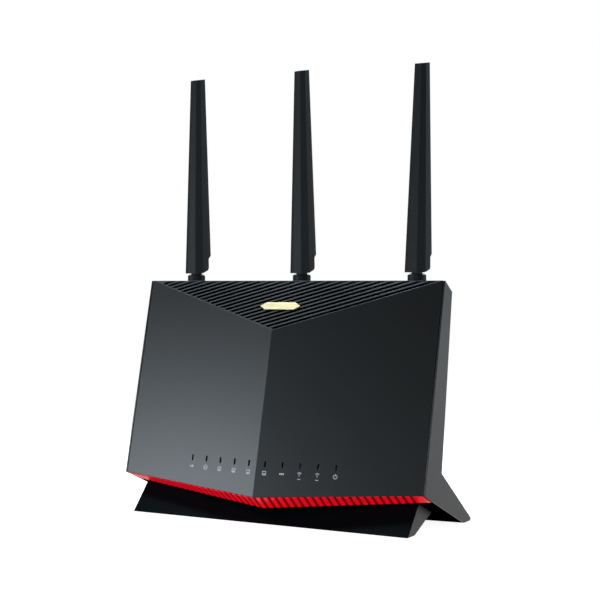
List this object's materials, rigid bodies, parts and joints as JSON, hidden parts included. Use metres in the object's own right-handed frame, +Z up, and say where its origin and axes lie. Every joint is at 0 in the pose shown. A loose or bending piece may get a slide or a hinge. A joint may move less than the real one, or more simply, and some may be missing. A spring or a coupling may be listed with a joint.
{
  "type": "wireless router",
  "caption": "Stand-up wireless router: a leaning casing with a ridged front and grooved V panel on two wide legs, with folding blade antennas above.",
  "frame": {"origin": "on the surface it stands on, under the middle of the whole object's box", "axes": "+X to the right of someone facing the front, +Y towards the back with its sockets, +Z up; the front faces -Y"},
  "size_m": [0.242, 0.1, 0.3251],
  "materials": {
    "satin_casing": "satin moulded plastic with a fine grain",
    "matte_casing": "matte moulded plastic",
    "antenna_plastic": "fine satin grain",
    "button_plastic": "satin",
    "socket_plastic": "matte",
    "red_accent": "glossy red with darker grooves",
    "foot_rubber": "matte",
    "circuit_board": "solder mask",
    "aluminium": "extruded, brushed",
    "tin_plate": "satin tin plating",
    "gold_plating": "gold plated",
    "gold_badge": "satin gold film",
    "screw_steel": "black zinc",
    "clear_plastic": "frosted clear",
    "label_film": "plain film, no print",
    "lead_jacket": "smooth jacket"
  },
  "bodies": {
    "root": {"body_frame": "satin_casing", "front_cover": "satin_casing", "vent_screen": "matte_casing", "emblem": "gold_badge", "accent_strip": "red_accent", "base_cover": "matte_casing", "front_leg": "matte_casing", "front_foot_pad_left": "foot_rubber", "front_foot_pad_right": "foot_rubber", "rear_foot_pad_left": "foot_rubber", "rear_foot_pad_right": "foot_rubber", "back_cover": "matte_casing", "main_board": "circuit_board", "heatsink": "aluminium", "radio_shield": "tin_plate", "processor_shield": "tin_plate", "power_inlet": "socket_plastic", "power_switch": "socket_plastic", "light_guide": "clear_plastic", "lamp_board": "circuit_board", "rating_label": "label_film", "internal_antenna": "circuit_board", "internal_antenna_lead": "lead_jacket", "network_socket_1": "socket_plastic", "network_socket_2": "socket_plastic", "network_socket_3": "socket_plastic", "network_socket_4": "socket_plastic", "network_socket_5": "socket_plastic", "network_socket_6": "socket_plastic", "usb_socket_1": "tin_plate", "usb_socket_2": "tin_plate", "cover_screw_1": "screw_steel", "cover_screw_2": "screw_steel", "cover_screw_3": "screw_steel", "cover_screw_4": "screw_steel", "antenna_lead_1": "lead_jacket", "antenna_connector_1": "gold_plating", "antenna_lead_2": "lead_jacket", "antenna_connector_2": "gold_plating", "antenna_lead_3": "lead_jacket", "antenna_connector_3": "gold_plating"},
    "collar_1": {"antenna_collar_1": "antenna_plastic"},
    "swivel_1": {"antenna_base_1": "antenna_plastic"},
    "blade_1": {"antenna_blade_1": "antenna_plastic", "hinge_pin_1": "screw_steel", "radiator_1": "circuit_board"},
    "collar_2": {"antenna_collar_2": "antenna_plastic"},
    "swivel_2": {"antenna_base_2": "antenna_plastic"},
    "blade_2": {"antenna_blade_2": "antenna_plastic", "hinge_pin_2": "screw_steel", "radiator_2": "circuit_board"},
    "collar_3": {"antenna_collar_3": "antenna_plastic"},
    "swivel_3": {"antenna_base_3": "antenna_plastic"},
    "blade_3": {"antenna_blade_3": "antenna_plastic", "hinge_pin_3": "screw_steel", "radiator_3": "circuit_board"},
    "power_button_body": {"power_button": "button_plastic"},
    "reset_button_body": {"reset_button": "button_plastic"},
    "light_button_body": {"light_button": "button_plastic"},
    "pairing_button_body": {"pairing_button": "button_plastic"}
  },
  "joints": [
    {"name": "collar_turn_1", "type": "hinge", "parent": "root", "child": "collar_1", "pos_m": [-0.092, 0.0201, 0.1696], "axis": [0, 0, 1], "continuous": true},
    {"name": "antenna_swivel_1", "type": "hinge", "parent": "root", "child": "swivel_1", "pos_m": [-0.092, 0.0201, 0.1696], "axis": [0, 0, 1], "range_deg": [-180, 180]},
    {"name": "antenna_tilt_1", "type": "hinge", "parent": "swivel_1", "child": "blade_1", "pos_m": [-0.092, 0.0201, 0.182], "axis": [-1, 0, 0], "range_deg": [-2, 90]},
    {"name": "collar_turn_2", "type": "hinge", "parent": "root", "child": "collar_2", "pos_m": [0, 0.0201, 0.1696], "axis": [0, 0, 1], "continuous": true},
    {"name": "antenna_swivel_2", "type": "hinge", "parent": "root", "child": "swivel_2", "pos_m": [0, 0.0201, 0.1696], "axis": [0, 0, 1], "range_deg": [-180, 180]},
    {"name": "antenna_tilt_2", "type": "hinge", "parent": "swivel_2", "child": "blade_2", "pos_m": [0, 0.0201, 0.182], "axis": [-1, 0, 0], "range_deg": [-1.1, 90.9]},
    {"name": "collar_turn_3", "type": "hinge", "parent": "root", "child": "collar_3", "pos_m": [0.092, 0.0201, 0.1696], "axis": [0, 0, 1], "continuous": true},
    {"name": "antenna_swivel_3", "type": "hinge", "parent": "root", "child": "swivel_3", "pos_m": [0.092, 0.0201, 0.1696], "axis": [0, 0, 1], "range_deg": [-180, 180]},
    {"name": "antenna_tilt_3", "type": "hinge", "parent": "swivel_3", "child": "blade_3", "pos_m": [0.092, 0.0201, 0.182], "axis": [-1, 0, 0], "range_deg": [-4.8, 87.2]},
    {"name": "power_push", "type": "slide", "parent": "root", "child": "power_button_body", "axis": [0, 0.9903, -0.1387], "range_m": [-0.002, 0], "stiffness_N_per_m": 500, "springref_m": 0.001},
    {"name": "reset_push", "type": "slide", "parent": "root", "child": "reset_button_body", "axis": [0, 0.9903, -0.1387], "range_m": [-0.0008, 0], "stiffness_N_per_m": 500, "springref_m": 0.001},
    {"name": "light_push", "type": "slide", "parent": "root", "child": "light_button_body", "axis": [1, 0, 0], "range_m": [0, 0.0008], "stiffness_N_per_m": 500, "springref_m": -0.001},
    {"name": "pairing_push", "type": "slide", "parent": "root", "child": "pairing_button_body", "axis": [1, 0, 0], "range_m": [0, 0.0008], "stiffness_N_per_m": 500, "springref_m": -0.001}
  ]
}
